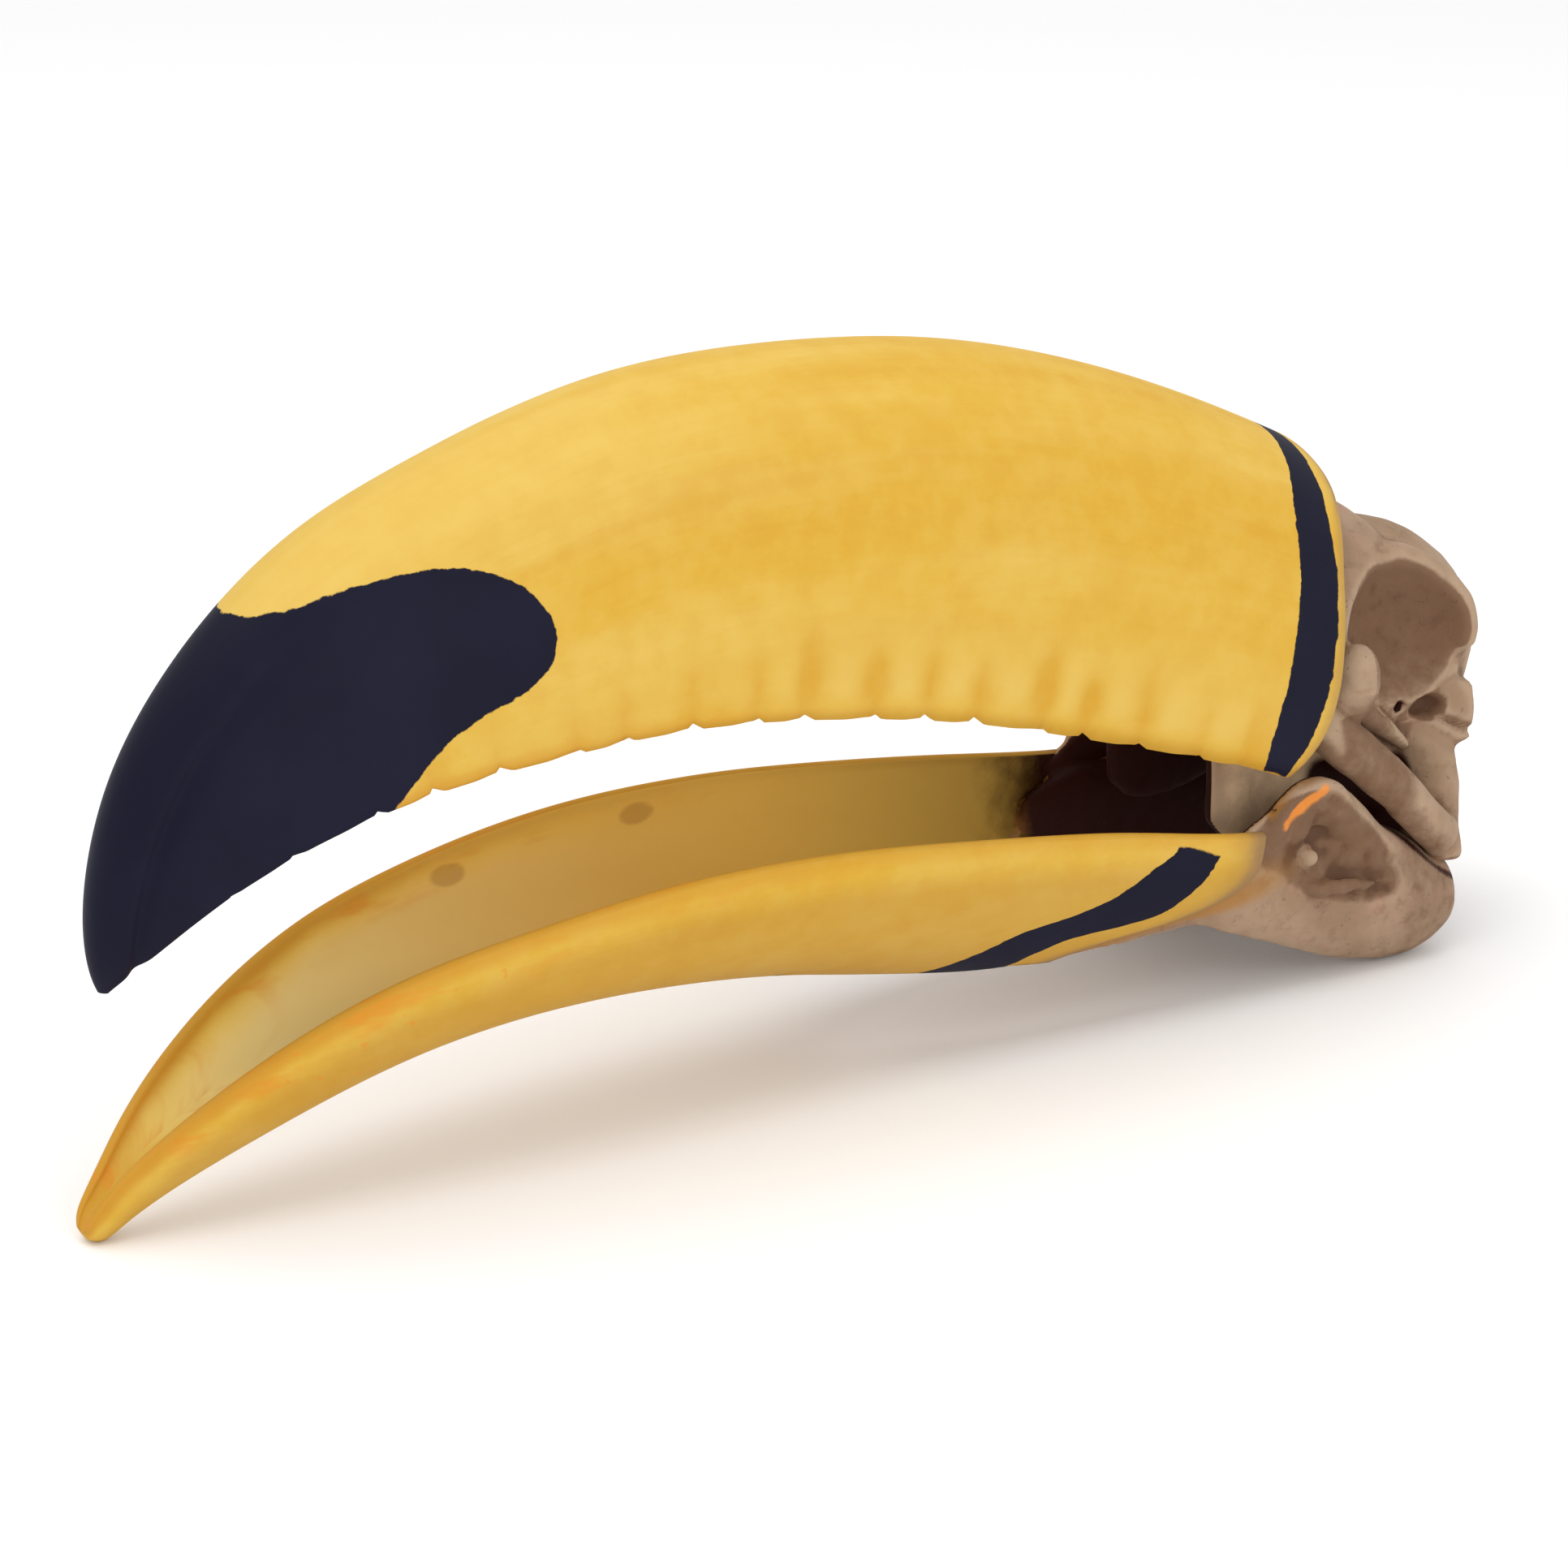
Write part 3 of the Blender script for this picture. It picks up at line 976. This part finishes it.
def bill_paint(look, lower):
    """Hand-painted horn: yellow in long streaks, amber in flutes and at edges, black areas brushed on."""
    p = Paint("lower_bill_paint" if lower else "upper_bill_paint")
    place = p.place()
    along_x = p.node("ShaderNodeSeparateXYZ", {}, {0: place})
    broad = p.streaks(1.1, 8.0, 3.0, 0.5)
    streak = p.streaks(2.6, 22.0, 4.0, 0.5)
    fine = p.streaks(10.0, 130.0, 3.0, 0.6)
    warm = p.step(p.streaks(1.5, 12.0, 4.0, 0.55), 0.48, 0.74)
    patch = p.cloud(place, 36.0, 3.0, 0.55)
    grain = p.cloud(place, 1100.0, 2.0, 0.6)
    mottle = p.cloud(place, 210.0, 3.0, 0.6)
    front = p.fall(along_x, -0.105, 0.02)
    tone = p.step(broad * 0.5 + streak * 0.15 + patch * 0.35, 0.4, 0.66)
    rag = (p.cloud(place, 330.0, 3.0, 0.6) - 0.5) * 2.2 + (p.cloud(place, 1300.0, 2.0, 0.6) - 0.5) * 0.5
    yellow = p.coats(
        look.yellow,
        (tone * 0.5, look.cream),
        (warm * 0.22, look.amber),
        (p.step(fine, 0.45, 0.75) * 0.08 + p.step(mottle, 0.45, 0.7) * 0.14, look.amber),
        (p.step(mottle, 0.55, 0.3) * 0.16, look.cream),
    )
    rear = p.value("rear")
    if lower:
        inside = p.step(p.value("inside"), 0.42, 0.7)
        outside = 1 - inside
        below = p.value("below_rim")
        rim_glow = p.fall(below, 0.2, 2.6) * (0.35 + 0.4 * front)
        inner = inside * (1 - front * p.fall(below, 0.0, 3.4)) * p.step(along_x, -0.115, -0.096)
        inner_front = inner * front * p.step(below + (patch - 0.5) * 6, 1.5, 6.0)
        lick = p.step(p.streaks(7.0, 26.0, 3.0, 0.6), 0.5, 0.68) * p.fall(below, 1.5, 7.0)
        shade = p.step(rear + rag, -4.6, -0.8) * outside * 0.6 + p.step(rear, -9.0, -2.0) * outside * 0.42
        specks = p.step(p.cloud(place, 520.0, 1.0, 0.5), 0.735, 0.765)
        smudge = p.step(p.value("smudge") + rag * 0.12, 0.0, 0.35)
        deep = p.step(along_x + rag * 0.0045 + (patch - 0.5) * 0.02, 0.040, 0.060) * inside
        yellow = p.coats(
            yellow,
            (rim_glow, look.amber),
            (inner * 0.78, look.trough),
            (inner_front * 0.6, look.trough_front),
            (lick * front * 0.6, look.amber_dark),
            (inside * p.step(along_x, -0.01, 0.05) * 0.3, look.mouth_dark),
            (p.step(below, 2.0, 7.0) * outside * 0.42, look.ochre),
            (p.step(below, 12.0, 24.0) * outside * 0.3, look.ochre),
            (shade, look.rim_brown),
            (specks * front * outside * 0.55, look.amber_dark),
            (smudge * inside * 0.4, look.smudge),
            (deep, look.mouth_dark),
        )
        top = p.step(below + rag * 0.5 - p.step(along_x, 0.0485, 0.057) * 1.4, 1.1, 1.5)
        black = p.step(p.value("band_paint") + rag * 0.85 + 0.2, -0.1, 0.1) * outside * top
    else:
        above, groove, culmen = (p.value(name) for name in ("above_edge", "groove", "below_culmen"))
        lobes = p.step(above, 0.5, 5.0) * p.fall(above + (patch - 0.5) * 12, 5.0, 19.0)
        upper = p.step(culmen, 4.0, 14.0) * p.fall(culmen, 16.0, 30.0) * (1 - front * 0.7)
        height = p.node("ShaderNodeSeparateXYZ", {}, {0: place}, output=2)
        thin_edge = p.step(rear + rag * 0.3, -1.5, -0.8) * p.step(height, 0.066, 0.074)
        strip = p.step(rear + rag * 0.6, -3.4, -0.4) * 0.5
        back = p.step(p.value("rear_face"), 0.3, 0.9).at_least(thin_edge * 0.85).at_least(strip)
        yellow = p.coats(
            yellow,
            (lobes * p.step(along_x, -0.07, 0.0) * (1 - groove) * 0.5, look.cream),
            (groove * 0.36, look.amber),
            (p.fall(above, 0.2, 2.6) * (0.3 + 0.45 * front), look.amber),
            (upper * 0.1, look.amber),
            (p.fall(culmen, 2.0, 15.0) * (0.08 + 0.4 * front), look.cream),
            (p.step(p.value("palate"), 0.4, 0.9) * 0.8, look.ochre),
            (back, look.rim_brown),
            (p.step(p.value("nostril"), 0.2, 0.6) * 0.85, look.mouth_dark),
        )
        tip = p.step(p.value("tip_paint") + rag * 0.55, -0.1, 0.1)
        band = p.step(p.value("band_paint") + rag * 0.55 + 0.4, -0.1, 0.1)
        black = tip.at_least(band * p.step(above + rag * 0.5, 0.3, 0.6))
    worn = p.step(p.cloud(place, 55.0), 0.4, 0.75)
    blue_black = p.coats(look.black, (worn * 0.6, look.black_light))
    return p.surface(
        Base_Color=p.coats(yellow, (black, blue_black)),
        Roughness=0.54 + patch * 0.14 - black * 0.04,
        Normal=p.bump(fine * 0.3 + grain * 0.25 + black * 0.5, 0.00016, 0.5),
        Specular_IOR_Level=0.14,
    )


def bone_paint(look):
    """Matte painted bone: taupe mottling, paler crests, brown hollows and near-black paint in the mouth."""
    p = Paint("bone_paint")
    place = p.place()
    big = p.cloud(place, 75.0, 4.0, 0.55)
    small = p.cloud(place, 420.0, 4.0, 0.62)
    flush = p.cloud(place, 130.0, 3.0, 0.6)
    pits = p.step(p.cloud(place, 900.0, 2.0, 0.5), 0.66, 0.76)
    big_off, small_off = big - 0.5, small - 0.5
    hollow, fine, wash = (p.value(name) for name in ("hollow", "fine", "wash"))
    deep = hollow * 0.8 + fine * 0.35 + small_off * 0.6 + big_off * 0.7
    crevice = hollow * 0.7 + wash * 0.25 + fine * 0.25 + small_off * 1.1
    colour = p.coats(
        look.bone,
        (p.step(big, 0.36, 0.66), look.bone_light),
        (p.step(flush, 0.52, 0.7) * 0.5, look.flush),
        (p.step(small, 0.5, 0.72) * 0.35, look.bone_dark),
        (p.step(deep, 0.0, 0.7) * 0.85, look.bone_dark),
        (p.step(-(hollow + fine) * 0.5, 0.15, 0.8) * 0.4, look.crest),
        (p.step(wash + big_off * 0.4 + small_off * 0.5, 0.2, 0.75) * 0.88, look.wash),
        (p.step(crevice, 0.45, 0.95) * 0.7, look.crevice),
        (pits * 0.35, look.wash),
        (p.value("pale") * (0.7 + 0.3 * p.step(big * 0.5 + small * 0.5, 0.4, 0.6)), look.pale),
        (p.value("ochre_tint") * (0.7 + 0.3 * big), look.ochre_wash),
        (p.step(p.value("dark") + big_off * 0.4 + small_off * 0.2, 0.25, 0.65), look.mouth_dark),
        (p.step(p.value("streak") + small_off * 0.9, 0.0, 0.6) * 0.84, look.streak),
    )
    return p.surface(
        Base_Color=colour,
        Roughness=0.6 + small * 0.16,
        Normal=p.bump(small * 0.8 - pits * 0.5, 0.00028, 0.6),
        Specular_IOR_Level=0.16,
    )


# Settings

def colour_setting(name, description, red, green, blue):
    default = srgb(red, green, blue)
    return bpy.props.FloatVectorProperty(
        name=name, description=description, subtype="COLOR", size=4, min=0, max=1, default=default
    )


def number_setting(name, description, default, low, high, **more):
    return bpy.props.FloatProperty(
        name=name, description=description, default=default, min=low, max=high, **more
    )


class BillLook(bpy.types.PropertyGroup):
    """Sizes and colours of the bill."""

    flute_depth: number_setting("Flute depth", "Depth of the flutes above the edge, in mm", 0.55, 0, 2)
    notch_depth: number_setting("Notch depth", "Depth of the notches of the edge, in mm", 0.95, 0, 2)
    yellow: colour_setting("Yellow", "Main colour of the bill", 209, 165, 55)
    cream: colour_setting("Cream", "Pale streaks of the bill", 220, 190, 104)
    amber: colour_setting("Amber", "Warm streaks, flutes and edges", 196, 136, 38)
    ochre: colour_setting("Ochre", "Shaded lower parts of the bill", 172, 122, 48)
    rim_brown: colour_setting("Rim brown", "Rear face and rear edges", 152, 118, 76)
    trough: colour_setting("Trough", "Inside of the lower bill", 240, 202, 100)
    trough_front: colour_setting("Trough front", "Greyer inside near the lower tip", 236, 214, 154)
    amber_dark: colour_setting("Dark amber", "Licks and specks near the lower tip", 214, 134, 38)
    smudge: colour_setting("Smudge", "Two faint marks inside the lower bill", 150, 96, 52)
    mouth_dark: colour_setting("Mouth", "Dark paint at the back of the mouth", 46, 14, 8)
    black: colour_setting("Black", "Painted dark areas", 13, 12, 34)
    black_light: colour_setting("Worn black", "Lighter parts of the dark areas", 22, 22, 46)


class BoneLook(bpy.types.PropertyGroup):
    """Detail and colours of the bones."""

    voxel: number_setting("Detail", "Smallest form kept when the bones are melted, in mm", 0.5, 0.3, 2)
    bone: colour_setting("Bone", "Main colour of the bone", 147, 120, 95)
    bone_light: colour_setting("Light bone", "Lighter mottling", 164, 137, 112)
    bone_dark: colour_setting("Dark bone", "Browner mottling and hollows", 112, 84, 64)
    crest: colour_setting("Crest", "Paler crests and edges", 186, 162, 136)
    flush: colour_setting("Flush", "Faint pink mottling", 164, 124, 104)
    pale: colour_setting("Pale sheet", "Thin sheets of the palate, seen in the bill's shadow", 255, 220, 178)
    wash: colour_setting("Wash", "Brown wash in the sockets and the jaw's hollow", 110, 80, 58)
    crevice: colour_setting("Crevice", "Dark brown left in the narrow places", 84, 58, 42)
    ochre_wash: colour_setting("Ochre wash", "Bone next to the sheath", 164, 116, 56)
    mouth_dark: colour_setting("Mouth", "Dark paint at the back of the mouth", 46, 14, 8)
    streak: colour_setting("Streak", "Orange streak on the jaw's crest", 232, 142, 56)


class StageLook(bpy.types.PropertyGroup):
    """Floor and light."""

    floor: colour_setting("Floor", "Colour of the floor", 252, 252, 252)
    light: number_setting("Overhead light", "Strength of the large soft light", 4.2, 0, 200, unit="POWER")
    world: number_setting("Surrounding light", "Strength of the even light from all round", 0.86, 0, 5)


# Operators

def both(*names):
    """Each name with its left and its right ending."""
    return [f"{name}_{word}" for name in names for word in ("left", "right")]


class SKULL_OT_upper_bill(bpy.types.Operator):
    """Builds the upper bill with its black tip, band and base rim."""

    bl_idname = "skull.upper_bill"
    bl_label = "Upper bill"

    def execute(self, context):
        look = context.scene.skull_bill
        nodes = ["upper_bill", "upper_bill_tip", "upper_bill_band", "upper_bill_base_rim"]
        dress(upper_bill(look), bill_paint(look, False), nodes)
        return {"FINISHED"}


class SKULL_OT_lower_bill(bpy.types.Operator):
    """Builds the sheath of the lower bill with its black bands."""

    bl_idname = "skull.lower_bill"
    bl_label = "Lower bill"

    def execute(self, context):
        nodes = ["lower_bill", *both("lower_bill_band", "lower_bill_rim")]
        dress(lower_bill(), bill_paint(context.scene.skull_bill, True), nodes)
        return {"FINISHED"}


class SKULL_OT_skull_bones(bpy.types.Operator):
    """Builds the braincase and the small bones under it."""

    bl_idname = "skull.skull_bones"
    bl_label = "Skull bones"

    def execute(self, context):
        look = context.scene.skull_bone
        nodes = ["cranium", *both("jugal_bar", "quadrate", "pterygoid", "palatine")]
        dress(skull_bones(look), bone_paint(look), nodes)
        return {"FINISHED"}


class SKULL_OT_jaw_bones(bpy.types.Operator):
    """Builds the two bones at the back of the lower jaw."""

    bl_idname = "skull.jaw_bones"
    bl_label = "Jaw bones"

    def execute(self, context):
        look = context.scene.skull_bone
        material = bone_paint(look)
        for side, word in ((LEFT, "left"), (RIGHT, "right")):
            dress(jaw_bone(look, side, word), material, [f"mandible_bone_{word}"])
        return {"FINISHED"}


CAMERA_PLACE = np.array([-260.37 - MIDDLE_X, -531.55, 263.02]) * MM
CAMERA_YAW = np.radians(35.0)
CAMERA_DROP = np.radians(18.828)
CAMERA_LENS = 111.80
SENSOR_WIDTH = 36.0
NEAREST_SEEN = 0.02
FLOOR_HALF = 6.0
LAMP_AIM = np.array([0.0, 0.0, 0.05])
LAMPS = (
    ("overhead", (-0.2, 0.05, 1.0), 1.0, 0.9),
    ("front", (0.0, -1.2, 0.45), 0.85, 0.8),
)


def stand(name, data, place, right, back):
    """An object that stands at place and looks away from back, with right to its right."""
    made = bpy.data.objects.new(name, data)
    bpy.context.scene.collection.objects.link(made)
    turn = Matrix((right, np.cross(back, right), back)).transposed().to_4x4()
    made.matrix_world = Matrix.Translation(place) @ turn
    return made


class SKULL_OT_stage(bpy.types.Operator):
    """Builds the floor, the lights and the camera."""

    bl_idname = "skull.stage"
    bl_label = "Stage"

    def execute(self, context):
        look = context.scene.skull_stage
        scene = context.scene
        mesh = bpy.data.meshes.new("floor")
        corners = [(x * FLOOR_HALF, y * FLOOR_HALF, 0) for x, y in ((-1, -1), (1, -1), (1, 1), (-1, 1))]
        mesh.from_pydata(corners, [], [(0, 1, 2, 3)])
        floor = bpy.data.objects.new("floor", mesh)
        scene.collection.objects.link(floor)
        mesh.materials.append(Paint("floor_paper").surface(Base_Color=tuple(look.floor), Roughness=0.9))

        lens = bpy.data.cameras.new("camera")
        lens.lens = CAMERA_LENS
        lens.sensor_width = SENSOR_WIDTH
        lens.clip_start = NEAREST_SEEN
        sin_yaw, cos_yaw = np.sin(CAMERA_YAW), np.cos(CAMERA_YAW)
        level = np.cos(CAMERA_DROP)
        back = np.array([-sin_yaw * level, -cos_yaw * level, np.sin(CAMERA_DROP)])
        scene.camera = stand("camera", lens, CAMERA_PLACE, np.array([cos_yaw, -sin_yaw, 0.0]), back)

        world = bpy.data.worlds.new("studio")
        world.use_nodes = True
        background = world.node_tree.nodes["Background"]
        background.inputs["Color"].default_value = (1, 1, 1, 1)
        background.inputs["Strength"].default_value = look.world
        scene.world = world
        scene.view_settings.view_transform = "Standard"

        for name, place, share, size in LAMPS:
            lamp = bpy.data.lights.new(name, "AREA")
            lamp.energy = look.light * share
            lamp.size = size
            back = np.array(place) - LAMP_AIM
            back = back / np.linalg.norm(back)
            right = np.cross([0, 0, 1], back)
            stand(name, lamp, place, right / np.linalg.norm(right), back)
        return {"FINISHED"}


OPERATORS = (
    SKULL_OT_stage,
    SKULL_OT_upper_bill,
    SKULL_OT_lower_bill,
    SKULL_OT_skull_bones,
    SKULL_OT_jaw_bones,
)


class SKULL_PT_panel(bpy.types.Panel):
    """Lists the skull's pieces."""

    bl_idname = "SKULL_PT_panel"
    bl_label = "Toucan skull cast"
    bl_space_type = "VIEW_3D"
    bl_region_type = "UI"
    bl_category = "Skull"

    def draw(self, context):
        for operator in OPERATORS:
            self.layout.operator(operator.bl_idname)
        for group in (context.scene.skull_bill, context.scene.skull_bone, context.scene.skull_stage):
            for key in group.__annotations__:
                self.layout.prop(group, key)


CLASSES = (BillLook, BoneLook, StageLook, *OPERATORS, SKULL_PT_panel)
GROUPS = {"skull_bill": BillLook, "skull_bone": BoneLook, "skull_stage": StageLook}


def register():
    for item in CLASSES:
        bpy.utils.register_class(item)
    for key, group in GROUPS.items():
        setattr(bpy.types.Scene, key, bpy.props.PointerProperty(type=group))


def unregister():
    for key in GROUPS:
        delattr(bpy.types.Scene, key)
    for item in reversed(CLASSES):
        bpy.utils.unregister_class(item)


def main():
    register()
    bpy.ops.skull.stage()
    bpy.ops.skull.upper_bill()
    bpy.ops.skull.lower_bill()
    bpy.ops.skull.skull_bones()
    bpy.ops.skull.jaw_bones()


if __name__ == "__main__":
    main()
